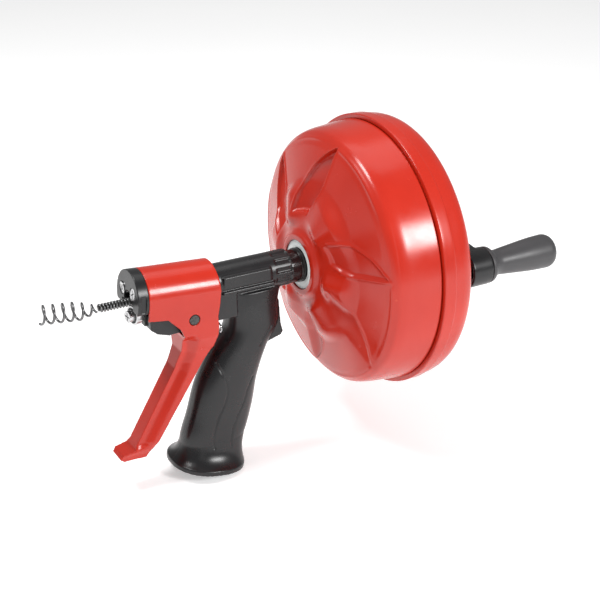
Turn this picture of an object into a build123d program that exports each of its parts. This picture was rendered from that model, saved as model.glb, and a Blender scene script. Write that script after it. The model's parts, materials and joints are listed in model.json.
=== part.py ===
from build123d import *
import os
from math import cos, radians, sin

# Hand-held drain snake: a drum of wound cable spins on the rear of a pistol grip, and a squeezed
# trigger pinches three skewed rollers on the cable so that the spin feeds it forward.
# Everything is drawn from the drum's flange plane (x = 0) on the drum's axis, nose towards -X, up +Z,
# and moved at the end so that the origin is the shoulder of the drill shank (x = ORIGIN_X here).

# ---- driving dimensions, mm ----
CABLE_R = 3.175             # quarter-inch cable
DRUM_R = 101.6              # eight-inch drum
WALL = 2.6                  # moulded wall
HUB_X, HUB_R = -64.5, 22.0  # front end and outer radius of the drum's hub
SHOULDER_X, SHOULDER_R = -39.4, 95.3    # where the front face turns into the side wall
SEAM_X = -5.0               # parting line of the two drum shells
REAR_X = 24.0               # rear face of the drum
LEAF_TURNS = (0, -73, -123, -180, -240, -306)   # places of the sunk leaves round the front face
POSTS = 6                   # cover screws
LEAF_DEPTH = 4.0
POST_R = 44.0               # pitch radius of the cover screws

SPINDLE_R = 12.3
SPINDLE_BORE = 4.5
RING_R = 18.25              # hub bushing
COIL_IN, COIL_OUT, COIL_X0, COIL_X1 = 64.0, 90.0, -12.0, 14.0

CRANK_Y = -67.0             # knob axis
BOSS_R = 13.8
BOSS_X = 52.0               # end of the crank boss
KNOB_END = 113.0
SHANK_R, SHANK_LENGTH = 4.0, 20.0
HEX = 12.0                  # across flats
ORIGIN_X = 49.0             # shoulder of the drill shank

BARREL_R, BARREL_Z = 13.3, 0.8      # the barrel stands a little above the drum's axis
BARREL_X0, BARREL_X1 = -181.0, -75.0
BORE_R = 11.2               # barrel bore, round the spindle's tail
SPLIT_GAP = 0.05            # half the gap between the grip halves
PIN_X, PIN_Z, PIN_R = -156.4, -15.3, 4.0
REST_TILT = 4.0             # trigger angle at rest, degrees, nose up
HEAD_Z = 0.9                # axis of the trigger hood when squeezed
HOOD_X0, HOOD_X1 = -190.5, -140.0
LEVER_HALF = 11.5
ROLLER_R, ROLLER_WIDTH, ROLLER_SKEW = 7.0, 5.0, 8.0
ROLLER_X = -192.5
ROLLER_GAP = 0.3            # roller to cable when squeezed
AXLE_R = 2.5
RUN = 0.06                  # running clearance on radius

CABLE_FRONT, CABLE_BACK = -219.0, -34.0
TIP_X = -261.0
TIP_WIRE = 0.85             # wire radius of the auger tip
TIP_R = 6.1                 # coil radius to the wire's centre, wide end


def turned(points):
    """Solid turned about the X axis from (x, radius) corners."""
    return revolve(make_face(Polyline(*points, close=True)), Axis.X)


def tube(x0, x1, outer, inner):
    return turned([(x0, inner), (x0, outer), (x1, outer), (x1, inner)])


def rod(x0, x1, radius, y=0.0, z=0.0):
    middle = Location(((x0 + x1) / 2, y, z), (0, 90, 0))
    return middle * Cylinder(radius, x1 - x0)


def block(x0, x1, y0, y1, z0, z1):
    return Pos((x0 + x1) / 2, (y0 + y1) / 2, (z0 + z1) / 2) * Box(x1 - x0, y1 - y0, z1 - z0)


def side_plate(points, half, radius=0.0):
    """Plate of the (x, z) outline, from -half to +half in Y."""
    line = FilletPolyline(*points, radius=radius, close=True) if radius else Polyline(*points, close=True)
    return extrude(Plane.XZ * make_face(line), half, both=True)


def front_plate(points, x0, x1):
    """Plate of the (y, z) outline, from x0 to x1."""
    return Pos(x0, 0, 0) * extrude(Plane.YZ * make_face(Polyline(*points, close=True)), x1 - x0)


def at_rest(part):
    """Turn a trigger part from the squeezed pose to rest, about the trigger pin."""
    return Pos(PIN_X, 0, PIN_Z) * Rot(0, REST_TILT, 0) * Pos(-PIN_X, 0, -PIN_Z) * part


# ---- drum ----
def cone_body(push=0.0, inset=0.0):
    """Outer form of the front shell, moved back by push and drawn in by inset."""
    side = SHOULDER_R - inset
    return turned([
        (HUB_X + push + inset, 0), (HUB_X + push + inset, HUB_R),
        (HUB_X + 3.5 + push + inset, HUB_R + 3.5), (SHOULDER_X - 3.7 + push + inset, side - 11.3),
        (SHOULDER_X - 0.8 + push + inset, side - 5.6), (SHOULDER_X + 1.6 + push + inset, side - 2.0),
        (SHOULDER_X + 7.5 + push + inset, side), (SEAM_X, side + 3.0), (SEAM_X, 0)])


def leaf_prism(grow=0.0):
    """Leaf-shaped prisms through the front face, each with a straight and a bowed edge."""
    def at(radius, angle):
        return (-radius * cos(radians(angle)), radius * sin(radians(angle)))
    inner, outer, spread = 40 - grow, 86 + grow / 2, 4 * grow / WALL
    leaf = make_face([
        Line(at(inner, 85 - spread), at(outer, 78 - spread / 2)),
        ThreePointArc(
            at(outer, 78 - spread / 2), at(66 + grow / 2, 94 + spread / 2), at(inner, 106 + spread)),
        Line(at(inner, 106 + spread), at(inner, 85 - spread))])
    prism = Pos(HUB_X, 0, 0) * extrude(Plane.YZ * leaf, 36)
    return [Rot(-turn, 0, 0) * prism for turn in LEAF_TURNS]


def drum_front_shell():
    sunk, sunk_inside = cone_body(push=LEAF_DEPTH), cone_body(push=LEAF_DEPTH, inset=WALL)
    outer, hollow = cone_body(), cone_body(inset=WALL)
    for prism in leaf_prism():
        outer -= prism - sunk
    for prism in leaf_prism(WALL):
        hollow -= prism - sunk_inside
    shell = outer - hollow
    shell += tube(HUB_X, HUB_X + 24, HUB_R, RING_R)
    shell += tube(SEAM_X - 3, SEAM_X + 12, SHOULDER_R + 2.2, SHOULDER_R - 0.2)
    shell -= rod(HUB_X - 1, HUB_X + 25, RING_R)
    for y, z in post_places():
        shell += rod(HUB_X + 12, REAR_X - WALL - 0.2, 4.0, y, z)
        shell -= rod(REAR_X - 22, REAR_X, 1.55, y, z)
    return shell


def post_places():
    angles = [radians(58 + 360 / POSTS * k) for k in range(POSTS)]
    return [(-POST_R * cos(a), POST_R * sin(a)) for a in angles]


def drum_rear_cover():
    cover = turned([
        (SEAM_X, SHOULDER_R + 2.4), (SEAM_X, DRUM_R - 0.8), (SEAM_X + 0.8, DRUM_R), (4, DRUM_R),
        (4.2, DRUM_R - 1.0), (14, DRUM_R - 1.8), (19.5, DRUM_R - 4.6), (REAR_X, DRUM_R - 12),
        (REAR_X, 22), (REAR_X + 3.5, 20), (REAR_X + 3.5, 0), (REAR_X - WALL, 0),
        (REAR_X - WALL, DRUM_R - 13), (17.5, DRUM_R - 7.5), (12.5, SHOULDER_R + 1.6),
        (12, SHOULDER_R + 2.4)])
    cover -= extrude(Plane.YZ * RegularPolygon(HEX / 2, 6, major_radius=False), 40)
    for y, z in post_places():
        cover -= rod(REAR_X - 4, REAR_X + 1, 1.8, y, z)
    return cover


def cover_screws():
    return [rod(REAR_X - 16, REAR_X, 1.5, y, z) + rod(REAR_X, REAR_X + 2, 3.2, y, z)
            for y, z in post_places()]


def hub_bushing():
    return tube(HUB_X + 0.9, HUB_X + 23, RING_R, SPINDLE_R + RUN)


def thrust_washer():
    return tube(HUB_X + 24.3, HUB_X + 25.8, RING_R, SPINDLE_R + 0.2)


def cable_coil():
    return turned([
        (COIL_X0, COIL_IN + 3), (COIL_X0, COIL_OUT - 3), (COIL_X0 + 3, COIL_OUT),
        (COIL_X1 - 3, COIL_OUT), (COIL_X1, COIL_OUT - 3), (COIL_X1, COIL_IN + 3),
        (COIL_X1 - 3, COIL_IN), (COIL_X0 + 3, COIL_IN)])


def cable_lead():
    """Cable from the inside of the wound coil to the axis, where it turns forward."""
    corners = [(8, -33, -49.5), (8, -8, -44), (8, 0, 0), (CABLE_BACK + 0.4, 0, 0)]
    route = FilletPolyline(*corners, radius=[14, 24])
    return sweep(Plane(route @ 0, z_dir=route % 0) * Circle(CABLE_R), route)


def cable_anchor():
    plate = block(COIL_X1 + 0.5, COIL_X1 + 5.5, -9, 9, 70, 84)
    return plate - rod(COIL_X1, COIL_X1 + 6, 1.55, 0, 77)


def anchor_screw():
    return rod(COIL_X1 + 1, REAR_X - WALL, 1.5, 0, 77)


def drive_shank():
    shank = rod(REAR_X - WALL - 4.2, REAR_X - WALL - 0.05, 16)
    shank += Pos(REAR_X - WALL - 1, 0, 0) * extrude(
        Plane.YZ * RegularPolygon(HEX / 2 - 0.05, 6, major_radius=False), 47.0 - REAR_X)
    shank += rod(40, ORIGIN_X, 5.5) + rod(40, ORIGIN_X + SHANK_LENGTH, SHANK_R)
    shank = shank - tube(46.8, 47.9, 8, 4.6)
    return chamfer(shank.edges().sort_by(Axis.X)[-1], 0.8)


def shank_clip():
    clip = tube(46.85, 47.85, 8.6, 4.65)
    return clip - block(46, 48.5, -3.6, 3.6, -9, 0)


# ---- crank ----
def crank_arm():
    """Hollow arm, open towards the drum, with a keyed hub and a boss for the knob's spindle."""
    hub_x, arm_x, hub_r = REAR_X + 3.8, 36.0, 19.0
    taper = [(0, hub_r), (CRANK_Y, BOSS_R), (CRANK_Y, -BOSS_R), (0, -hub_r)]
    inner = [(0, hub_r - WALL), (CRANK_Y, BOSS_R - WALL), (CRANK_Y, -BOSS_R + WALL), (0, -hub_r + WALL)]
    arm = front_plate(taper, arm_x, 46.5) + rod(hub_x, 46.5, hub_r)
    arm += rod(arm_x - 1, BOSS_X, BOSS_R, CRANK_Y)
    arm -= front_plate(inner, arm_x - 5, 43.5) + rod(arm_x - 5, 48.0, BOSS_R - WALL, CRANK_Y)
    arm += rod(hub_x, 46.5, 11) + rod(arm_x, 49, 7.0, CRANK_Y)
    arm += block(arm_x + 1, 44, CRANK_Y + 6, -10, -1.2, 1.2)
    arm -= extrude(Plane.YZ * RegularPolygon(HEX / 2, 6, major_radius=False), 80)
    return arm - rod(arm_x - 1, BOSS_X + 1, 4.02, CRANK_Y)


def knob_spindle():
    return rod(36.4, 101, 4.0, CRANK_Y) + rod(34.4, 36.0, 6.5, CRANK_Y) + rod(35, 37, 4.0, CRANK_Y)


def crank_knob():
    start = BOSS_X + 0.6
    lines = [
        Line((start, 0), (start, BOSS_R - 0.6)), Line((start, BOSS_R - 0.6), (start + 1, BOSS_R)),
        Line((start + 1, BOSS_R), (start + 3.4, BOSS_R - 0.6)),
        ThreePointArc((start + 3.4, BOSS_R - 0.6), (start + 5.6, 10.4), (start + 9, 9.4)),
        Spline((start + 9, 9.4), (start + 30, 11.2), (KNOB_END - 5, 12.6), tangents=[(1, 0), (1, 0)]),
        ThreePointArc((KNOB_END - 5, 12.6), (KNOB_END - 1.6, 10.8), (KNOB_END, 7)),
        Line((KNOB_END, 7), (KNOB_END, 0)), Line((KNOB_END, 0), (start, 0))]
    knob = revolve(make_face(lines), Axis.X)
    return Pos(0, CRANK_Y, 0) * (knob - rod(start - 1, 102, 4.0 + RUN))


# ---- handle ----
GRIP_SECTIONS = [           # z, front x, rear x, half width
    (-10, -125, -81.5, 13.4), (-20, -123.5, -84, 15.0), (-36, -124, -84.5, 15.6),
    (-52, -135, -92.5, 15.8), (-75, -148, -101, 16.0), (-100, -156, -106, 16.0),
    (-120, -162.5, -112, 16.5), (-136, -166, -118, 18)]
FOOT = (-142.0, -137.4, 9.5)    # centre x and z, and tilt in degrees


def grip_column():
    faces = []
    for z, front, rear, half in GRIP_SECTIONS:
        faces.append(Pos((front + rear) / 2, 0, z) * RectangleRounded(rear - front, 2 * half, 0.92 * half))
    return loft(faces)


def foot_face(shrink, drop):
    x, z, tilt = FOOT
    face = RectangleRounded(2 * (26.8 - shrink), 2 * (27.5 - shrink), 22 - shrink)
    return Pos(x, 0, z) * Rot(0, -tilt, 0) * Pos(0, 0, drop) * face


def foot():
    """Flared foot: the grip's last section runs out into a tilted rim four millimetres thick."""
    z, front, rear, half = GRIP_SECTIONS[-2]
    neck = Pos((front + rear) / 2, 0, z) * RectangleRounded(rear - front, 2 * half, 0.46 * 2 * half)
    waist = Pos((front + rear) / 2 - 3.5, 0, z - 11) * RectangleRounded(rear - front + 1, 2 * half + 3, half)
    rim = extrude(foot_face(0, -4), 4)
    return rim + loft([neck, waist, foot_face(1.5, -1)])


KEEL = [                    # (x, z) outline of the keel under the barrel
    (-181, -8), (-187, -9), (-187, -19), (-182, -23), (-173, -26), (-160, -25), (-140, -22),
    (-139, 0), (-181, 0)]
HORN = [                    # (x, z) outline of the spur behind the hand
    (-110, -24), (-84.0, -24), (-83, -40), (-81.2, -46.2), (-83.2, -48.8), (-96, -52.0),
    (-103, -61), (-118, -62)]
SCREWS = [                  # (x, z) of the five screws that hold the grip halves
    (-170.0, -21.0), (-104.0, -24.0), (-112.0, -48.0), (-127.0, -88.0), (-138.0, -126.0)]


def rod_y(x, z, y0, y1, radius):
    return Location((x, (y0 + y1) / 2, z), (90, 0, 0)) * Cylinder(radius, y1 - y0)


def grip_body():
    """Clamshell before it is split: barrel, keel under the trigger hood, grip, rear horn and foot."""
    shell = rod(BARREL_X0, BARREL_X1, BARREL_R, z=BARREL_Z) + side_plate(KEEL, 13.4) + grip_column()
    shell += side_plate(HORN, 9.5, radius=1.2) + foot()
    shell += block(-135.8, -118, -12.5, 12.5, -24.0, -2.0)      # web behind the trigger
    shell += block(-132, -91, -15.0, 15.0, -4.6, -2.0) + block(-131, -93, -14.2, 14.2, -0.9, 8.6)
    shell -= rod(BARREL_X0 - 9, BARREL_X1 + 5, BORE_R)
    for x in (BARREL_X0, -150, -134):
        shell += tube(x, x + 2, BORE_R + 0.4, 5.6)
    shell -= rod_y(PIN_X, PIN_Z, -20, 20, PIN_R)
    shell -= block(-189, -173.9, -6.1, 6.1, -18.1, -6.0)
    for x, z in SCREWS:
        shell -= rod_y(x, z, -8, 20, 1.8) + rod_y(x, z, 10.0, 20, 3.7)
    return shell


def grip_half(shell, side):
    near, far = sorted((side * SPLIT_GAP, side * 60))
    return shell & block(-300, 0, near, far, -200, 60)


def grip_screws():
    return [rod_y(x, z, -6, 10.2, 1.7) + rod_y(x, z, 10.1, 12.4, 3.4) for x, z in SCREWS]


def drum_spindle():
    """Fixed hollow spindle that the drum turns on, ribbed where it leaves the barrel."""
    spindle = turned([
        (-129, SPINDLE_BORE), (-129, 11.15), (-74.8, 11.15), (-74.8, 11.5), (-67, 11.5), (-67, 12.8),
        (-64.4, 12.8), (-64.4, SPINDLE_R), (-34.5, SPINDLE_R), (-34.5, SPINDLE_BORE)])
    ribs = [Rot(30 * k, 0, 0) * block(-74.8, -67, -1.7, 1.7, 10, 12.2) for k in range(12)]
    spindle += ribs
    return spindle - tube(-38.4, -37.1, 14, 11.0)


def retaining_ring():
    ring = tube(-38.35, -37.15, 15.2, 11.05)
    return ring - block(-39, -36, -4, 4, -16, 0)


def guide_tube():
    return tube(-178.9, -129.1, 5.5, 4.3)


def roller_mount():
    mount = block(-188.2, -174, -6.0, 6.0, -18.0, -6.1)
    return mount - roller_place(0) * rod(0, 20, 2.05)


def trigger_pin():
    pin = rod_y(PIN_X, PIN_Z, -19.2, 19.2, PIN_R)
    return chamfer(pin.edges().filter_by(GeomType.CIRCLE), 0.6)


def trigger_spring():
    """Compression spring between the lever and the front of the grip, pushing the trigger open."""
    turns, length = 7, 27.0
    helix = Helix(length / turns, length, 4.0)
    coil = sweep(Plane(helix @ 0, z_dir=helix % 0) * Circle(0.6), helix)
    return Pos(-128.0 - length, 0, -35.0) * Rot(0, 90, 0) * coil


# ---- rollers ----
def lower_z():
    return -(CABLE_R + ROLLER_GAP + ROLLER_R)


def roller_place(angle):
    """Frame of a roller standing angle degrees round the cable from below, skewed to feed it."""
    return Rot(angle, 0, 0) * Pos(ROLLER_X, 0, lower_z()) * Rot(0, 0, ROLLER_SKEW)


def roller():
    ring = tube(-ROLLER_WIDTH / 2, ROLLER_WIDTH / 2, ROLLER_R, AXLE_R + RUN)
    for x in (-ROLLER_WIDTH / 2, ROLLER_WIDTH / 2 - 0.4):
        ring -= tube(x, x + 0.4, 6.6, 4.0)
    return ring


def roller_screw():
    """Shoulder screw: head in front, shoulder through the roller, thread behind."""
    screw = rod(-6.2, -3.4, 4.2) + rod(-3.4, 3.6, AXLE_R) + rod(3.6, 7.6, 2.0)
    return screw - block(-6.5, -5.2, -3.0, 3.0, -0.5, 0.5) - block(-6.5, -5.2, -0.5, 0.5, -3.0, 3.0)


# ---- trigger ----
LEVER = [                   # outline of hood, cheeks and lever at rest, (x, z)
    (-188.6, 23.4), (-135.6, 24), (-135.4, 2), (-136.6, -8), (-138.2, -16), (-137.8, -26), (-140, -41),
    (-188, -114), (-193, -120.2), (-210, -119.6), (-213, -117.4), (-210.5, -114.4), (-201.5, -112.8),
    (-168, -55.5), (-162.7, -43), (-162.5, -31), (-167, -20.5), (-176, -11.2), (-190.5, -9)]


def hood_section(radius, bottom, front=HOOD_X0):
    arch = Pos(0, 0, HEAD_Z) * rod(front, HOOD_X1 + 8, radius)
    return arch + block(front, HOOD_X1 + 8, -radius, radius, bottom, HEAD_Z)


def lever_width(half, waist, toe):
    """Front view of the trigger: full width at the hood, a waist below the pin, a narrow toe."""
    return front_plate([
        (-half, 30), (half, 30), (half, -31), (waist + 1.5, -44), (waist, -52), (waist, -108), (toe, -117),
        (toe, -122), (-toe, -122), (-toe, -117), (-waist, -108), (-waist, -52), (-waist - 1.5, -44),
        (-half, -31)], -220, -130)


def trigger_lever():
    body = side_plate(LEVER, 22) & lever_width(19.2, LEVER_HALF, 7.6)
    below = block(-220, -130, -20, 20, -130, -8)
    body &= at_rest(hood_section(19.4, -12)) + below
    hollow_top = at_rest(hood_section(17.4, -40, front=-210)) & block(-220, -130, -20, 20, -28.0, 30)
    channel = side_plate([
        (-159.2, -27), (-159.4, -43), (-164.6, -56.5), (-192, -106), (-160, -106), (-120, -42),
        (-120, -27)], 8.7)
    body -= hollow_top + channel
    body -= rod_y(PIN_X, PIN_Z, -25, 25, PIN_R + RUN)
    return body


def nose_block():
    """Black nose under the front of the hood: it carries the two upper rollers on their screws."""
    face_x, back_x = -198.5, -184.8
    nose = Pos(0, 0, HEAD_Z) * (rod(face_x, HOOD_X0 - 0.1, 19.4) + rod(HOOD_X0 - 0.2, back_x, 17.2))
    nose -= rod(face_x - 1, back_x + 1, 6.0)
    nose -= block(face_x - 1, back_x + 1, -25, 25, -25, -6)
    nose -= block(face_x - 1, back_x + 1, -9.4, 9.4, -25, -2.2)
    for angle in (120, -120):
        frame = roller_place(angle)
        nose -= frame * rod(-3.9, 3.6, ROLLER_R + 0.7)
        nose -= frame * (rod(-12, -3.3, 4.5) + rod(-5, 20, 2.05) + rod(-5, 3.8, AXLE_R + 0.05))
    nose -= block(face_x + 2.2, HOOD_X0 - 2.0, -21, -18.0, -5, 7)
    return nose


def auger_tip():
    """Open hook-like coil at the cable's end, growing from the cable's size to its full width."""
    turns, length = 6.0, CABLE_FRONT - TIP_X - 2
    steps = 12
    points = []
    for i in range(int(turns * steps) + 1):
        t = i / (turns * steps)
        radius = (CABLE_R - TIP_WIRE) + (TIP_R - CABLE_R + TIP_WIRE) * min(1.0, 3.0 * t)
        angle = radians(360 * turns * t - 90)
        rise = 4.5 * t
        x = CABLE_FRONT - TIP_WIRE - 0.05 - length * t
        points.append((x, radius * cos(angle), rise + radius * sin(angle)))
    path = Spline(*points)
    return sweep(Plane(path @ 0, z_dir=path % 0) * Circle(TIP_WIRE), path, transition=Transition.ROUND)


def feed_cable():
    return rod(CABLE_FRONT, CABLE_BACK, CABLE_R)


def build():
    shell = grip_body()
    parts = {
        "grip_left_half": grip_half(shell, -1),
        "grip_right_half": grip_half(shell, 1),
        "grip_screws": grip_screws(),
        "drum_spindle": drum_spindle(),
        "retaining_ring": retaining_ring(),
        "guide_tube": guide_tube(),
        "roller_mount": roller_mount(),
        "trigger_pin": trigger_pin(),
        "trigger_spring": trigger_spring(),
        "lower_roller": roller_place(0) * roller(),
        "lower_roller_screw": roller_place(0) * roller_screw(),
        "trigger_lever": trigger_lever(),
        "nose_block": at_rest(nose_block()),
        "drum_front_shell": drum_front_shell(),
        "drum_rear_cover": drum_rear_cover(),
        "cover_screws": cover_screws(),
        "hub_bushing": hub_bushing(),
        "thrust_washer": thrust_washer(),
        "cable_coil": cable_coil(),
        "cable_lead": cable_lead(),
        "cable_anchor": cable_anchor(),
        "anchor_screw": anchor_screw(),
        "drive_shank": drive_shank(),
        "shank_clip": shank_clip(),
        "crank_arm": crank_arm(),
        "knob_spindle": knob_spindle(),
        "crank_knob": crank_knob(),
        "feed_cable": feed_cable(),
        "auger_tip": auger_tip(),
    }
    for name, angle in (("upper_left_roller", -120), ("upper_right_roller", 120)):
        parts[name] = at_rest(roller_place(angle) * roller())
        parts[name + "_screw"] = at_rest(roller_place(angle) * roller_screw())
    return parts


def write(parts):
    os.makedirs("parts", exist_ok=True)
    for name, part in parts.items():
        pieces = part if isinstance(part, list) else [part]
        moved = [Pos(-ORIGIN_X, 0, 0) * piece for piece in pieces]
        solids = [solid for piece in moved for solid in piece.solids()]
        export_step(Compound(children=solids) if len(solids) > 1 else solids[0], f"parts/{name}.step")


write(build())
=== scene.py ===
import json
import math

import bmesh
import bpy
import numpy as np
from mathutils import Matrix, Vector


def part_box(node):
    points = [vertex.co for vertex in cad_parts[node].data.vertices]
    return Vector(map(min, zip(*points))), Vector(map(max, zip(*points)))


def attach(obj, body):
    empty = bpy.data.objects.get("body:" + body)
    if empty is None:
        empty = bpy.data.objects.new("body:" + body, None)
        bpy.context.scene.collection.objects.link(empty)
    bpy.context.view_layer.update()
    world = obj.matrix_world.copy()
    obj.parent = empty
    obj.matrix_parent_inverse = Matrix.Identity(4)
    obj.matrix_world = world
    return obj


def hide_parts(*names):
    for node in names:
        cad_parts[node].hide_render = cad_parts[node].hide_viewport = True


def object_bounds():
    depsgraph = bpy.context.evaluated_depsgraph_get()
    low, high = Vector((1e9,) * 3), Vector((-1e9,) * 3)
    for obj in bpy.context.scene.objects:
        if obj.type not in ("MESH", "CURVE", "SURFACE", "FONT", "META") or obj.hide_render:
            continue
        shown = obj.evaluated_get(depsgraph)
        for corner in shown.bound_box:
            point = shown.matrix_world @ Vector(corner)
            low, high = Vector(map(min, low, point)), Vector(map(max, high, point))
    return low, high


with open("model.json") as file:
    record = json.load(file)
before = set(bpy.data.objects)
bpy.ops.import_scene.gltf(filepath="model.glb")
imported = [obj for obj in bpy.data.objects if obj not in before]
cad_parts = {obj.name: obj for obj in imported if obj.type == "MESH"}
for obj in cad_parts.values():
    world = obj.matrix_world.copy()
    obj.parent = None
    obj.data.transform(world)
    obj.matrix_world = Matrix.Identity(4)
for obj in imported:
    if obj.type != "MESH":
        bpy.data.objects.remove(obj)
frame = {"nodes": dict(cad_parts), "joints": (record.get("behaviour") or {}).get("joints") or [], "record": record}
CAD_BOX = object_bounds()

# Shapes are drawn in millimetres from the drum's flange plane on its axis, as in the CAD.
# The rear cover starts COVER_REACH in front of that plane, which gives the shift to the frame.
COVER_REACH = 5.0
FLANGE_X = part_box("drum_rear_cover")[0].x * 1000 + COVER_REACH
MM = 0.001
TAU = 2 * math.pi


def to_frame(points):
    """Points in the drawing's millimetres to metres in the shared frame."""
    points = np.asarray(points, float).reshape(-1, 3)
    return (points + np.array([FLANGE_X, 0, 0])) * MM


# ---------------------------------------------------------------- materials
COLOUR_A, COLOUR_B, COLOUR_RESULT = 6, 7, 2     # colour sockets of a Mix node
GRAIN_SCALE, FINE_DEPTH, FLOW_DEPTH = 2600, 0.00005, 0.0006
OILY = (0.03, 0.028, 0.026)


def new_material(name):
    material = bpy.data.materials.new(name)
    material.use_nodes = True
    tree = material.node_tree
    return material, tree, tree.nodes["Principled BSDF"]


def link(tree, source, target):
    tree.links.new(source, target)


def noise(tree, scale, detail=4.0, rough=0.55):
    """Noise in the piece's own coordinates, so that it stays with the piece when it moves."""
    place = tree.nodes.new("ShaderNodeTexCoord")
    texture = tree.nodes.new("ShaderNodeTexNoise")
    texture.inputs["Scale"].default_value = scale
    texture.inputs["Detail"].default_value = detail
    texture.inputs["Roughness"].default_value = rough
    link(tree, place.outputs["Object"], texture.inputs["Vector"])
    return texture


def grey(value):
    return (value, value, value)


def ramp(tree, source, stops):
    node = tree.nodes.new("ShaderNodeValToRGB")
    elements = node.color_ramp.elements
    while len(elements) < len(stops):
        elements.new(0.5)
    for element, (place, colour) in zip(elements, stops):
        element.position = place
        element.color = (*colour, 1)
    link(tree, source, node.inputs["Fac"])
    return node


def bump(tree, height, strength, distance, after=None):
    node = tree.nodes.new("ShaderNodeBump")
    node.inputs["Strength"].default_value = strength
    node.inputs["Distance"].default_value = distance
    link(tree, height, node.inputs["Height"])
    if after:
        link(tree, after.outputs["Normal"], node.inputs["Normal"])
    return node


def mix_colour(tree, factor, first, second):
    """Blend from a linked colour to a fixed one."""
    node = tree.nodes.new("ShaderNodeMix")
    node.data_type = "RGBA"
    link(tree, factor, node.inputs["Factor"])
    link(tree, first, node.inputs[COLOUR_A])
    node.inputs[COLOUR_B].default_value = (*second, 1)
    return node.outputs[COLOUR_RESULT]


def plastic(name, dark, light, worn, rough, grain, mirror=0.5):
    """Moulded plastic: slow tone changes, fine spark-eroded grain, edges rubbed a little lighter."""
    material, tree, shader = new_material(name)
    slow = noise(tree, 14, 3)
    tone = ramp(tree, slow.outputs["Fac"], [(0.35, dark), (0.65, light)])
    edge = tree.nodes.new("ShaderNodeNewGeometry")
    rub = ramp(tree, edge.outputs["Pointiness"], [(0.53, grey(0)), (0.62, grey(0.35))])
    colour = mix_colour(tree, rub.outputs["Color"], tone.outputs["Color"], worn)
    link(tree, colour, shader.inputs["Base Color"])
    smudge = noise(tree, 45, 5, 0.65)
    gloss = ramp(tree, smudge.outputs["Fac"], [(0.3, grey(rough - 0.05)), (0.75, grey(rough + 0.07))])
    link(tree, gloss.outputs["Color"], shader.inputs["Roughness"])
    fine = noise(tree, GRAIN_SCALE, 2)
    flow = noise(tree, 30, 2)
    waves = bump(tree, flow.outputs["Fac"], 0.12, FLOW_DEPTH)
    texture = bump(tree, fine.outputs["Fac"], grain, FINE_DEPTH, waves)
    link(tree, texture.outputs["Normal"], shader.inputs["Normal"])
    shader.inputs["IOR"].default_value = 1.5
    shader.inputs["Specular IOR Level"].default_value = mirror
    return material


def steel(name, dark, light, rough, grime=0.35):
    """Machined or drawn steel: fine scratches, and oily grime in noise patches."""
    material, tree, shader = new_material(name)
    scratch = noise(tree, 900, 3, 0.6)
    tone = ramp(tree, scratch.outputs["Fac"], [(0.3, dark), (0.7, light)])
    dirt = noise(tree, 160, 5, 0.6)
    mask = ramp(tree, dirt.outputs["Fac"], [(0.5, grey(0)), (0.8, grey(grime))])
    colour = mix_colour(tree, mask.outputs["Color"], tone.outputs["Color"], OILY)
    link(tree, colour, shader.inputs["Base Color"])
    gloss = ramp(tree, dirt.outputs["Fac"], [(0.35, grey(rough)), (0.8, grey(rough + 0.2))])
    link(tree, gloss.outputs["Color"], shader.inputs["Roughness"])
    marks = bump(tree, scratch.outputs["Fac"], 0.25, FINE_DEPTH)
    link(tree, marks.outputs["Normal"], shader.inputs["Normal"])
    shader.inputs["Metallic"].default_value = 1.0
    return material


# plastic: dark and light tone, worn tone, roughness, grain
RED = plastic("red_plastic", (0.46, 0.017, 0.006), (0.52, 0.022, 0.008), (0.66, 0.08, 0.035), 0.22, 0.06)
BLACK = plastic("black_plastic", (0.008, 0.008, 0.009), (0.013, 0.0126, 0.0135), grey(0.05),
                0.29, 0.22, mirror=0.44)
GLOSS = plastic("black_gloss", (0.006, 0.006, 0.0065), (0.010, 0.0095, 0.010), grey(0.05), 0.18, 0.10)
KNOB = plastic("knob_plastic", (0.040, 0.039, 0.041), (0.055, 0.053, 0.056), grey(0.11), 0.40, 0.25)
NYLON = plastic("white_nylon", (0.72, 0.76, 0.75), (0.82, 0.85, 0.84), (0.9, 0.92, 0.91), 0.38, 0.10)
SEAL = plastic("seal_rubber", grey(0.020), (0.030, 0.029, 0.029), grey(0.06), 0.6, 0.3)
BRIGHT = steel("bright_steel", (0.42, 0.42, 0.43), grey(0.68), 0.18, grime=0.25)
DARK = steel("dark_steel", grey(0.045), (0.11, 0.11, 0.105), 0.34)
WIRE = steel("cable_wire", (0.10, 0.10, 0.103), (0.24, 0.24, 0.243), 0.24, grime=0.6)
SLOT_MATERIALS = {
    "red_plastic": RED, "black_plastic": BLACK, "white_nylon": NYLON,
    "bright_steel": BRIGHT, "dark_steel": DARK, "cable_steel": WIRE}


# ---------------------------------------------------------------- mesh helpers
def mesh_object(name, points, faces, material):
    mesh = bpy.data.meshes.new(name)
    mesh.from_pydata([tuple(p) for p in points], [], faces)
    mesh.validate()
    made = bpy.data.objects.new(name, mesh)
    bpy.context.scene.collection.objects.link(made)
    mesh.materials.append(material)
    shade_smooth(mesh)
    fix_normals(made)
    return made


def shade_smooth(mesh):
    mesh.polygons.foreach_set("use_smooth", [True] * len(mesh.polygons))


def fix_normals(made):
    work = bmesh.new()
    work.from_mesh(made.data)
    bmesh.ops.recalc_face_normals(work, faces=work.faces)
    work.to_mesh(made.data)
    work.free()


def grid_faces(rows, columns, closed_rows):
    """Quads of a grid of rows x columns points whose columns wrap round, and its rows too if closed."""
    faces = []
    for i in range(rows if closed_rows else rows - 1):
        for j in range(columns):
            a, b = i * columns, (i + 1) % rows * columns
            k = (j + 1) % columns
            faces.append((a + j, a + k, b + k, b + j))
    return faces


def tube_faces(rows, columns):
    """Faces of a tube of rings, closed at both ends."""
    last = (rows - 1) * columns
    ends = [tuple(range(columns))[::-1], tuple(range(last, last + columns))]
    return grid_faces(rows, columns, False) + ends


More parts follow.
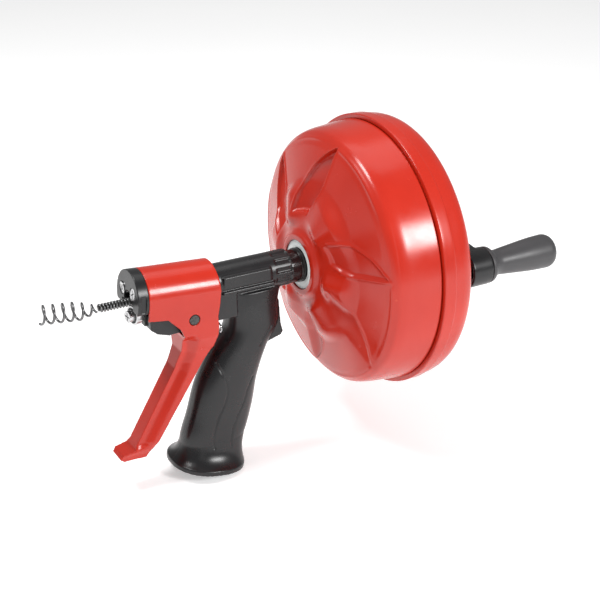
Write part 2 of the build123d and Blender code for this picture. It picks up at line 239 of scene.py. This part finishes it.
def rounded(corners, steps=6):
    """Points of a path through (x, radius, fillet) corners, with each fillet as an arc."""
    path = []
    count = len(corners)
    for i, (x, r, fillet) in enumerate(corners):
        here = Vector((x, r))
        before = Vector(corners[i - 1][:2]) - here
        after = Vector(corners[(i + 1) % count][:2]) - here
        if fillet <= 0:
            path.append((x, r))
            continue
        reach = min(fillet, 0.49 * before.length, 0.49 * after.length)
        start, end = here + before.normalized() * reach, here + after.normalized() * reach
        for k in range(steps + 1):
            t = k / steps
            point = start * (1 - t) ** 2 + here * 2 * t * (1 - t) + end * t * t
            path.append(tuple(point))
    return path


def densify(path, step):
    """The same closed path with no side longer than step."""
    dense = []
    for i, here in enumerate(path):
        there = path[(i + 1) % len(path)]
        parts = max(1, math.ceil(math.dist(here, there) / step))
        along = np.array(there) - np.array(here)
        dense += [tuple(np.array(here) + along * k / parts) for k in range(parts)]
    return dense


def lathe(name, profile, material, steps, centre_y=0.0, relief=None):
    """Closed solid turned about X from a closed (x, radius) path; relief moves its points."""
    path = np.array(profile)
    angle = np.arange(steps) / steps * TAU
    x = np.repeat(path[:, 0:1], steps, 1)
    r = np.repeat(path[:, 1:2], steps, 1)
    a = np.repeat(angle[None, :], len(path), 0)
    if relief:
        x, r = relief(x, r, a)
    points = np.stack([x, centre_y - r * np.cos(a), r * np.sin(a)], -1).reshape(-1, 3)
    return mesh_object(name, to_frame(points), grid_faces(len(path), steps, True), material)


def place_on_axis(made, joint_name):
    """Move a piece drawn about the X axis at the flange plane to a joint's place and axis."""
    joint = next(j for j in frame["joints"] if j["name"] == joint_name)
    turn = Vector((1, 0, 0)).rotation_difference(Vector(joint["axis"])).to_matrix().to_4x4()
    made.data.transform(Matrix.Translation((-FLANGE_X * MM, 0, 0)))
    made.data.transform(Matrix.Translation(joint["pos_m"]) @ turn)
    return made


def tube_along(name, path, radius, material, sides):
    """Round tube of one radius along a smooth list of points, with flat ends."""
    path = np.asarray(path, float)
    tangent = np.gradient(path, axis=0)
    tangent /= np.linalg.norm(tangent, axis=1)[:, None]
    side = np.cross(tangent[0], [0, 0, 1.0])
    rings = []
    for point, along in zip(path, tangent):
        side = side - along * side.dot(along)
        side /= np.linalg.norm(side)
        up = np.cross(along, side)
        turn = np.arange(sides) / sides * TAU
        rings.append(point + radius * (np.outer(np.cos(turn), side) + np.outer(np.sin(turn), up)))
    return mesh_object(name, to_frame(np.concatenate(rings)), tube_faces(len(path), sides), material)


def copy_node(node, name, material):
    """A new piece with the shape of a CAD node, to be worked on."""
    made = bpy.data.objects.new(name, frame["nodes"][node].data.copy())
    bpy.context.scene.collection.objects.link(made)
    made.data.materials.clear()
    made.data.materials.append(material)
    made.data.polygons.foreach_set("material_index", [0] * len(made.data.polygons))
    weld = bmesh.new()
    weld.from_mesh(made.data)
    bmesh.ops.remove_doubles(weld, verts=weld.verts, dist=1e-6)
    weld.to_mesh(made.data)
    weld.free()
    return made


def apply_modifiers(made):
    depsgraph = bpy.context.evaluated_depsgraph_get()
    mesh = bpy.data.meshes.new_from_object(made.evaluated_get(depsgraph))
    made.modifiers.clear()
    made.data = mesh
    return made


def soften(made, voxel, passes):
    """Remesh into even quads and relax them, which rounds every edge like a moulding."""
    remesh = made.modifiers.new("remesh", "REMESH")
    remesh.mode = "VOXEL"
    remesh.voxel_size = voxel * MM
    remesh.use_smooth_shade = True
    relax = made.modifiers.new("relax", "SMOOTH")
    relax.factor = 0.5
    relax.iterations = passes
    return apply_modifiers(made)


def coordinates(made):
    """A piece's points in the drawing's millimetres."""
    co = np.zeros(len(made.data.vertices) * 3)
    made.data.vertices.foreach_get("co", co)
    return co.reshape(-1, 3) / MM - np.array([FLANGE_X, 0, 0])


def set_coordinates(made, co):
    made.data.vertices.foreach_set("co", to_frame(co).ravel())
    made.data.update()


def vertex_normals(made):
    normals = np.zeros(len(made.data.vertices) * 3)
    made.data.vertices.foreach_get("normal", normals)
    return normals.reshape(-1, 3)


def smoothstep(t):
    t = np.clip(t, 0, 1)
    return t * t * (3 - 2 * t)


def line_distance(points, line):
    """Distance of 2-D points from a polyline."""
    best = np.full(len(points), 1e9)
    for a, b in zip(line[:-1], line[1:]):
        a, b = np.array(a, float), np.array(b, float)
        t = np.clip((points - a) @ (b - a) / max((b - a) @ (b - a), 1e-9), 0, 1)
        best = np.minimum(best, np.linalg.norm(points - a - t[:, None] * (b - a), axis=1))
    return best


def settle(made, body, slot, *nodes):
    """Fix a piece to its body, in place of the CAD nodes it shows; slot is not used."""
    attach(made, body)
    if nodes:
        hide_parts(*nodes)


# ---------------------------------------------------------------- drum
HUB_X, HUB_R, RING_R = -64.5, 22.0, 18.25
LEAVES = [                  # turn from the top leaf, softness of the steep edge, narrowing in degrees, depth
    (0, 1.5, 0, 9.0), (-73, 3.2, 2, 1.8), (-123, 34.0, 0, 7.0), (-180, 14.0, 0, 7.0),
    (-240, 2.6, 0, 6.0), (-306, 1.5, 0, 8.0)]
STEEP_EDGE = [(38, 88.0), (47, 82.5), (57, 80.0), (74, 80.2), (91, 80.5)]      # (radius, degrees), top leaf
BOWED_EDGE = [(38, 113.0), (42, 111.5), (59, 103.8), (74, 93.6), (84, 86.0), (91, 80.6)]
LIP, BEAD, SWELL = 0.7, 0.7, 5.2        # raised edge of a leaf, bead at the shoulder, swollen ground
BEAD_R = 89.6


def edge_angle(table, r):
    return np.interp(r, [row[0] for row in table], [row[1] for row in table])


def ridge(distance, width):
    return np.exp(-(distance / width) ** 2)


def face_relief(x, r, a):
    """Sunk leaves with a steep and a bowed edge, and the swollen ground between them."""
    arc = np.radians(1) * r
    steep_edge, bowed_edge = edge_angle(STEEP_EDGE, r), edge_angle(BOWED_EDGE, r)
    ends = smoothstep((r - 37.5) / 3.0) * (1 - smoothstep((r - 84) / 8))
    rim = smoothstep((r - 38) / 6) * (1 - smoothstep((r - 86) / 5))
    sunk, lip, pillow, bead = (np.zeros_like(r) for _ in range(4))
    for number, (turn, soft, narrow, depth) in enumerate(LEAVES):
        degrees = (np.degrees(a) - turn + 90) % 360 - 90
        from_steep = (degrees - steep_edge - narrow) * arc
        from_bowed = (bowed_edge - degrees) * arc
        width = np.maximum((bowed_edge - steep_edge - narrow) * arc, 0.1)
        floor_depth = depth * (0.15 + 0.85 * np.clip(from_bowed / width, 0, 1) ** 0.8)
        sunk += floor_depth * smoothstep((from_steep + 0.6) / soft) * smoothstep(from_bowed / 2.4) * ends
        crisp = smoothstep((6 - soft) / 3)
        lip += (ridge(from_bowed, 1.3) + crisp * ridge(from_steep + 0.8, 1.2)) * rim
        bead += ridge(r - BEAD_R, 1.3) * smoothstep((degrees - 34) / 14) * smoothstep((82 - degrees) / 4)
        following = LEAVES[(number + 1) % len(LEAVES)][0]
        gap = -((following - turn) % -360)
        pillow += np.exp(-1.5 * ((degrees - 90 + gap / 2) / (gap / 2 - 9)) ** 2)
    swell = smoothstep((r - 26) / 10) * (1 - smoothstep((r - 50) / 12))
    face = smoothstep((-37.5 - x) / 2.0) * smoothstep((r - 25.5) / 2)
    return x + face * (sunk - LIP * lip - SWELL * pillow * swell - BEAD * bead), r


def drum_front():
    outer = [(HUB_X, RING_R + 0.1, 0), (HUB_X, HUB_R + 0.6, 1.6), (-61.9, 24.8, 2.2), (-60.4, 28.5, 3.0),
             (-43.0, 84.6, 1.2), (-40.6, 90.2, 2.2), (-37.6, 93.6, 3.0), (-31.5, 95.4, 5), (-5.9, 98.2, 0.6),
             (-5.9, 97.2, 0), (7, 97.2, 0)]
    inner = [(7, 95.1, 0), (-8, 95.1, 0), (-31.0, 92.8, 3), (-37.0, 88.0, 3), (-54.4, 29.0, 2),
             (-56.4, HUB_R, 0.5), (HUB_X + 24, HUB_R, 0.5), (HUB_X + 24, RING_R + 0.1, 0.3)]
    path = densify(rounded(outer + inner), 1.0)
    shell = lathe("drum_front_shell_moulded", path, RED, 960, relief=face_relief)
    settle(shell, "drum", "red_plastic", "drum_front_shell")


def drum_rear():
    corners = [(-5.0, 97.9, 0.4), (-5.0, 101.55, 1.0), (4.0, 101.55, 0.5), (4.5, 100.7, 0.4), (14, 99.9, 4),
               (20.2, 96.9, 4.5), (23.6, 89.5, 3.5), (24, 80, 2), (22.6, 74, 2), (22.6, 40, 2), (24, 34, 2),
               (24, 23, 1.5), (27.4, 20.5, 1.2), (27.4, 7.1, 0.3), (21.5, 7.1, 0.3), (21.5, 31, 2),
               (20.0, 40, 2), (20.0, 74, 2), (21.2, 86, 4), (16.5, 95.0, 3), (9, 97.9, 0.5)]
    cover = lathe("drum_rear_cover_moulded", densify(rounded(corners), 2.0), RED, 360)
    settle(cover, "drum", "red_plastic", "drum_rear_cover")


def bushing():
    front, rear, inner = HUB_X + 1.0, HUB_X + 22.8, 12.5
    corners = [(front, inner, 0.5), (front, RING_R, 0.4), (rear, RING_R, 0.4), (rear, inner, 0.4)]
    made = lathe("hub_bushing_turned", densify(rounded(corners), 1.5), NYLON, 160)
    settle(made, "drum", "white_nylon", "hub_bushing")


def spindle():
    corners = [(-128.8, 4.6, 0.3), (-128.8, 11.1, 0.6), (-75, 11.1, 0.4), (-75, 12.1, 0.3),
               (-66.9, 12.1, 0.3), (-66.9, 12.75, 0.5), (HUB_X, 12.75, 0.4), (HUB_X, 12.25, 0),
               (-34.6, 12.25, 0.6), (-34.6, 4.6, 0.3)]
    made = lathe("drum_spindle_turned", densify(rounded(corners, 4), 0.7), GLOSS, 200)
    settle(made, "handle", "black_plastic", "drum_spindle")


# ---------------------------------------------------------------- crank
CRANK_Y = -67.0


def knob():
    start, end = 52.7, 112.9
    corners = [(start, 4.1, 0), (start, 13.6, 0.9), (start + 3.2, 13.4, 1.4), (start + 5.4, 10.2, 2.2),
               (start + 10, 9.2, 5), (start + 24, 10.6, 8), (start + 42, 12.3, 8), (end - 4.5, 12.7, 3),
               (end - 0.6, 10.5, 3.5), (end, 4.0, 2), (end, 0.01, 0), (101.9, 0.01, 0), (101.9, 4.1, 0)]
    made = lathe("crank_knob_turned", densify(rounded(corners, 8), 1.2), KNOB, 160, centre_y=CRANK_Y)
    settle(made, "knob", "black_plastic", "crank_knob")


def crank():
    made = soften(copy_node("crank_arm", "crank_arm_moulded", BLACK), 0.55, 3)
    settle(made, "drum", "black_plastic", "crank_arm")


# ---------------------------------------------------------------- trigger
RIB = [(-162.5, -25), (-162.7, -43), (-168, -55.5), (-201.5, -112.8)]     # (x, z) line of the lever's front
RIB_TOP, RIB_BOTTOM, RIB_NARROWING = -26, -114, 0.40
SEAL_IN, SEAL_OUT = 3.95, 5.65


def trigger():
    """The CAD lever rounded like a moulding: a narrow front rib sweeps out to the wider side walls."""
    made = soften(copy_node("trigger_lever", "trigger_moulded", RED), 0.5, 4)
    co = coordinates(made)
    depth = line_distance(co[:, [0, 2]], RIB)
    inside = smoothstep((RIB_TOP - co[:, 2]) / 8) * smoothstep((co[:, 2] - RIB_BOTTOM) / 6)
    co[:, 1] *= 1 - RIB_NARROWING * (1 - smoothstep((depth - 2.6) / 8.0)) * inside
    set_coordinates(made, co)
    settle(made, "trigger", "red_plastic", "trigger_lever")


def nose():
    made = soften(copy_node("nose_block", "nose_block_moulded", BLACK), 0.34, 3)
    settle(made, "trigger", "black_plastic", "nose_block")


def rollers():
    """Sealed ball bearings: a steel race with a sunk rubber seal in each face."""
    near = [(-2.5, 2.6, 0.15), (-2.5, 3.9, 0.15), (-2.15, 4.0, 0), (-2.15, 5.6, 0), (-2.5, 5.7, 0.15),
            (-2.5, 7.0, 0.35)]
    race = near + [(-x, radius, fillet) for x, radius, fillet in reversed(near)]
    for place in ("lower", "upper_left", "upper_right"):
        made = lathe(f"{place}_roller_bearing", densify(rounded(race, 3), 0.6), BRIGHT, 96)
        made.data.materials.append(SEAL)
        for face in made.data.polygons:
            centre = face.center / MM - Vector((FLANGE_X, 0, 0))
            radius = math.hypot(centre.y, centre.z)
            face.material_index = int(SEAL_IN < radius < SEAL_OUT and abs(centre.x) < 2.3)
        place_on_axis(made, f"{place}_roller_spin")
        settle(made, f"{place}_roller_body", "bright_steel", f"{place}_roller")


# ---------------------------------------------------------------- handle
BARREL_R, BARREL_Z, BARREL_X0, BARREL_X1 = 13.3, 0.8, -180.9, -75.1
NECK = (-137.4, -121.0, 24.9, 16.7)     # centre x, z, half length, half width
RIM = (-143.0, -137.6, 28.4, 27.0)
RIM_THICKNESS, FOOT_TILT = 3.6, 10.0
GRIP = [                    # z, front x, rear x, half width, superellipse exponent
    (-8, -125, -81, 13.0, 2.6), (-20, -123.6, -84, 14.9, 2.6), (-36, -124.0, -84.5, 15.6, 2.5),
    (-52, -135, -92.5, 15.9, 2.35), (-75, -148, -101, 16.2, 2.3), (-100, -156, -106, 16.2, 2.3),
    (-120, -162.2, -112.3, 16.6, 2.3), (-127, -163.0, -115.5, 16.0, 2.3)]
HORN = [                    # outlines are (x, z) corners
    (-110, -22), (-84.5, -20), (-84, -30), (-83, -40), (-81.4, -46.0), (-83.4, -48.6), (-96, -52),
    (-103, -61), (-118, -62)]
KEEL = [
    (-181, -8.2), (-186.8, -9.2), (-186.8, -18.8), (-182, -22.8), (-173, -25.8), (-160, -24.8),
    (-140.2, -21.8), (-139.2, 0)]
WEB = [(-135.6, -3), (-135.6, -23.8), (-120, -23.8), (-120, -3)]
LEDGE = [(-131.8, -4.4), (-91.2, -4.4), (-91.2, -2.2), (-131.8, -2.2)]
PANEL = [(-130.6, -0.6), (-93.2, -0.6), (-93.2, 8.3), (-130.6, 8.3)]
SIDE_GROOVES = [            # (x, z) lines cut into both cheeks of the grip
    [(-136.5, -59), (-132.4, -70), (-131.2, -79), (-133.2, -88), (-139.0, -100), (-143.4, -113),
     (-143.4, -123)],
    [(-109.6, -74), (-114.3, -82.5), (-117.6, -92), (-123.1, -101.5), (-128.2, -114), (-129.5, -125)],
    [(-94.5, -37.5), (-100, -43), (-103.5, -49)]]
GROOVE_WIDTH = GROOVE_DEPTH = 0.75
RIBS_X0, RIBS_X1, RIB_COUNT, RIB_DEPTH = -88.5, -75.6, 12, 1.15
SEAM_HALF = 0.08            # half the gap between the grip halves


def superellipse(count, power):
    """Unit outline between an ellipse and a rectangle, as rows of two coordinates."""
    angle = np.arange(count) / count * TAU
    c, s = np.cos(angle), np.sin(angle)
    return np.stack([np.sign(c) * np.abs(c) ** (2 / power), np.sign(s) * np.abs(s) ** (2 / power)], -1)


def ring_loft(sections, count=72, rows=90):
    """Closed loft of superellipse rings; a section is (z, front x, rear x, half width, exponent)."""
    table = np.array(sections, float)
    table = table[np.argsort(table[:, 0])]
    levels = np.linspace(table[0, 0], table[-1, 0], rows)
    smooth = [catmull(table[:, 0], table[:, k], levels) for k in range(1, 5)]
    rings = []
    for z, front, rear, half, power in zip(levels, *smooth):
        outline = superellipse(count, power)
        x = (front + rear) / 2 + (rear - front) / 2 * outline[:, 0]
        rings.append(np.stack([x, half * outline[:, 1], np.full(count, z)], -1))
    return np.concatenate(rings), tube_faces(rows, count)


def catmull(xs, ys, at):
    """Smooth interpolation through (xs, ys) with slopes from the neighbours."""
    slopes = np.gradient(ys, xs)
    i = np.clip(np.searchsorted(xs, at) - 1, 0, len(xs) - 2)
    h = xs[i + 1] - xs[i]
    t = (at - xs[i]) / h
    return ((1 + 2 * t) * (1 - t) ** 2 * ys[i] + t * (1 - t) ** 2 * h * slopes[i]
            + t * t * (3 - 2 * t) * ys[i + 1] + t * t * (t - 1) * h * slopes[i + 1])


def slab(outline, half):
    """Closed plate of an (x, z) outline, from -half to +half in Y."""
    count = len(outline)
    points = [(x, side, z) for side in (-half, half) for x, z in outline]
    faces = [tuple(range(count)), tuple(range(2 * count - 1, count - 1, -1))]
    faces += [(i, i + count, (i + 1) % count + count, (i + 1) % count) for i in range(count)]
    return points, faces


def bar(x0, x1, radius, height, count=96):
    """Closed cylinder along X at a height above the drum's axis."""
    angle = np.arange(count) / count * TAU
    ring = np.stack([np.zeros(count), radius * np.cos(angle), height + radius * np.sin(angle)], -1)
    return np.concatenate([ring + (x0, 0, 0), ring + (x1, 0, 0)]), tube_faces(2, count)


def fuse(name, shapes, material, voxel, passes):
    """Union of closed shapes, remeshed and relaxed so that they flow into each other."""
    points, faces = [], []
    for shape_points, shape_faces in shapes:
        shift = len(points)
        points += [tuple(p) for p in shape_points]
        faces += [tuple(shift + k for k in face) for face in shape_faces]
    made = mesh_object(name, to_frame(points), faces, material)
    return soften(made, voxel, passes)


def flare(count=128, rows=18):
    """Foot of the grip: the neck widens and tilts by degrees into the flat rim."""
    (x0, z0, long0, wide0), (x1, z1, long1, wide1) = NECK, RIM
    outline = superellipse(count, 2.3)
    rings = []
    for t in list(np.linspace(0, 1, rows)) + [1 + RIM_THICKNESS / (z0 - z1)]:
        within = min(t, 1.0)
        level = math.radians(FOOT_TILT) * within ** 1.4
        across = outline[:, 0] * (long0 + (long1 - long0) * within ** 3)
        wide = outline[:, 1] * (wide0 + (wide1 - wide0) * (0.25 * within + 0.75 * within ** 3.2))
        drop = max(t - 1, 0) * (z0 - z1)
        x = x0 + (x1 - x0) * within - drop * math.sin(level)
        z = z0 + (z1 - z0) * within - drop * math.cos(level)
        rings.append(np.stack([x + across * math.cos(level), wide, z - across * math.sin(level)], -1))
    return np.concatenate(rings), tube_faces(len(rings), count)


def smooth_line(points, steps=8):
    """The same line with rounded bends."""
    table = np.array(points, float)
    along = np.arange(len(table))
    dense = np.linspace(0, len(table) - 1, steps * (len(table) - 1) + 1)
    return np.stack([catmull(along, table[:, 0], dense), catmull(along, table[:, 1], dense)], -1)


def carve_grip(made):
    """Side grooves of the grip and the ribs at the barrel's rear end, as real depth."""
    co, normals = coordinates(made), vertex_normals(made)
    side = np.abs(co[:, 1])
    flat = co[:, [0, 2]]
    cut = np.zeros(len(co))
    for line in SIDE_GROOVES:
        distance = line_distance(flat, smooth_line(line))
        cut += GROOVE_DEPTH * ridge(distance, GROOVE_WIDTH) * smoothstep((side - 5) / 3)
    radius = np.hypot(co[:, 1], co[:, 2] - BARREL_Z)
    turn = np.arctan2(co[:, 2] - BARREL_Z, co[:, 1])
    ribbed = smoothstep((co[:, 0] - RIBS_X0) / 0.8) * smoothstep((RIBS_X1 - co[:, 0]) / 0.8)
    ribbed *= smoothstep((radius - 12.2) / 0.6) * smoothstep((co[:, 2] + 9.5) / 2)
    cut += RIB_DEPTH * ribbed * (0.5 - 0.5 * np.tanh(4 * np.cos(RIB_COUNT * turn) + 0.4))
    set_coordinates(made, co - normals * cut[:, None])


def grips():
    """Barrel, column, horn, keel, web, ledge, blank panel and foot in one moulding."""
    shapes = [bar(BARREL_X0, BARREL_X1, BARREL_R, BARREL_Z), ring_loft(GRIP), slab(HORN, 8.5),
              slab(KEEL, 13.2), slab(WEB, 12.3), slab(LEDGE, 14.9), slab(PANEL, 14.0), flare()]
    made = fuse("grip", shapes, BLACK, 0.6, 5)
    carve_grip(made)
    return made


def split_halves(made):
    """Cut the moulding along the middle plane into the two closed halves of the clamshell."""
    for side, hand in ((-1, "left"), (1, "right")):
        work = bmesh.new()
        work.from_mesh(made.data)
        geometry = work.verts[:] + work.edges[:] + work.faces[:]
        seam = (0, side * SEAM_HALF * MM, 0)
        cut = bmesh.ops.bisect_plane(
            work, geom=geometry, plane_co=seam, plane_no=(0, -side, 0), clear_outer=True)
        rim = [e for e in cut["geom_cut"] if isinstance(e, bmesh.types.BMEdge)]
        bmesh.ops.triangle_fill(work, edges=rim, use_beauty=True)
        bmesh.ops.recalc_face_normals(work, faces=work.faces)
        mesh = bpy.data.meshes.new(f"grip_{hand}_moulded")
        work.to_mesh(mesh)
        work.free()
        half = bpy.data.objects.new(f"grip_{hand}_moulded", mesh)
        bpy.context.scene.collection.objects.link(half)
        mesh.materials.append(BLACK)
        shade_smooth(mesh)
        settle(half, "handle", "black_plastic", f"grip_{hand}_half")
    bpy.data.objects.remove(made)


# ---------------------------------------------------------------- cable
CABLE_R, CABLE_FRONT, CABLE_BACK, TIP_X = 3.175, -219.0, -34.0, -261.0


def feed_cable():
    """Tightly wound wire cable: one wire helix over a dark core."""
    wire, pitch = 0.80, 2.25
    turns = (CABLE_BACK - CABLE_FRONT - 2 * wire) / pitch
    t = np.linspace(0, turns, int(turns * 24))
    radius = CABLE_R - wire - 0.01
    path = np.stack([CABLE_FRONT + wire + t * pitch, radius * np.cos(TAU * t), radius * np.sin(TAU * t)], -1)
    winding = tube_along("feed_cable_winding", path, wire, WIRE, 8)
    settle(winding, "cable", "cable_steel", "feed_cable")
    front, back, axis, outer = CABLE_FRONT + 0.3, CABLE_BACK - 0.3, 0.01, 1.95
    core = lathe("feed_cable_core", [(front, axis), (front, outer), (back, outer), (back, axis)], DARK, 24)
    settle(core, "cable", "cable_steel")


def auger_tip():
    """Open coil at the cable's end, opening out to its full width within the first turns."""
    turns, wire, wide, rise = 6.0, 0.85, 6.1, 4.5
    t = np.linspace(0, 1, 6 * 48 + 1)
    radius = (CABLE_R - wire) + (wide - CABLE_R + wire) * np.minimum(1, 3 * t)
    angle = TAU * turns * t - math.pi / 2
    length = CABLE_FRONT - TIP_X - 2
    x = CABLE_FRONT - wire - 0.05 - length * t
    path = np.stack([x, radius * np.cos(angle), rise * t + radius * np.sin(angle)], -1)
    settle(tube_along("auger_tip_coil", path, wire, WIRE, 12), "cable", "cable_steel", "auger_tip")


# ---------------------------------------------------------------- carried-over CAD nodes
def finish_cad_nodes():
    slots = {s["node"]: s["material_slot"] for s in frame["record"]["subparts"]}
    for name, node in frame["nodes"].items():
        node.data.materials.clear()
        node.data.materials.append(SLOT_MATERIALS[slots[name]])


# ---------------------------------------------------------------- scene
KEY = ((-0.75, 0.15, 1.35), (-0.1, 0, 0), (0.45, 0.45), 16)      # place, target, size, power
STRIP = ((-0.55, -1.3, 0.45), (-0.05, 0, -0.03), (0.25, 1.1), 0.6)
SIDE = ((0.38, -1.17, 0.62), (-0.05, 0, 0), (0.3, 0.4), 13)
TOP = ((0.1, 0.35, 1.3), (0, 0, 0), (1.0, 0.8), 3)
SKY, FLOOR_GLOW, FLOOR_SIZE = 0.34, 0.40, 30.0
EYE = (-491.1, -761.8, 375.0)
LOOK_DOWN, TURN, LENS, SENSOR = 24.80, -29.36, 78.4, 36.0


def area_light(name, place, target, size, power):
    data = bpy.data.lights.new(name, "AREA")
    data.shape = "RECTANGLE"
    data.size, data.size_y = size
    data.energy = power
    light = bpy.data.objects.new(name, data)
    bpy.context.scene.collection.objects.link(light)
    light.location = place
    light.rotation_euler = (Vector(target) - Vector(place)).to_track_quat("-Z", "Y").to_euler()


def floor():
    """Plain pale floor under the object, glowing a little so that it reads as white."""
    low = CAD_BOX[0][2]
    points = [(x * FLOOR_SIZE, y * FLOOR_SIZE, low) for x, y in ((-1, -1), (1, -1), (1, 1), (-1, 1))]
    mesh = bpy.data.meshes.new("studio_floor")
    mesh.from_pydata(points, [], [(0, 1, 2, 3)])
    made = bpy.data.objects.new("studio_floor", mesh)
    bpy.context.scene.collection.objects.link(made)
    material, tree, shader = new_material("studio_floor")
    slight = noise(tree, 3)
    tone = ramp(tree, slight.outputs["Fac"], [(0.3, grey(0.86)), (0.7, grey(0.88))])
    link(tree, tone.outputs["Color"], shader.inputs["Base Color"])
    shader.inputs["Roughness"].default_value = 0.9
    shader.inputs["Emission Color"].default_value = (1, 1, 1, 1)
    shader.inputs["Emission Strength"].default_value = FLOOR_GLOW
    mesh.materials.append(material)


def studio():
    world = bpy.data.worlds.new("studio")
    bpy.context.scene.world = world
    world.use_nodes = True
    background = world.node_tree.nodes["Background"]
    background.inputs["Color"].default_value = (1, 1, 1, 1)
    background.inputs["Strength"].default_value = SKY
    for name, light in (("key", KEY), ("strip", STRIP), ("side", SIDE), ("top", TOP)):
        area_light(name, *light)


def camera():
    data = bpy.data.cameras.new("camera")
    data.sensor_width, data.lens = SENSOR, LENS
    made = bpy.data.objects.new("camera", data)
    bpy.context.scene.collection.objects.link(made)
    made.location = to_frame(EYE)[0]
    made.rotation_euler = (math.radians(90 - LOOK_DOWN), 0, math.radians(TURN))
    bpy.context.scene.camera = made


bpy.context.scene.view_settings.view_transform = "Standard"
camera()
studio()
floor()
finish_cad_nodes()
drum_front()
drum_rear()
bushing()
spindle()
knob()
crank()
trigger()
nose()
rollers()
split_halves(grips())
feed_cable()
auger_tip()
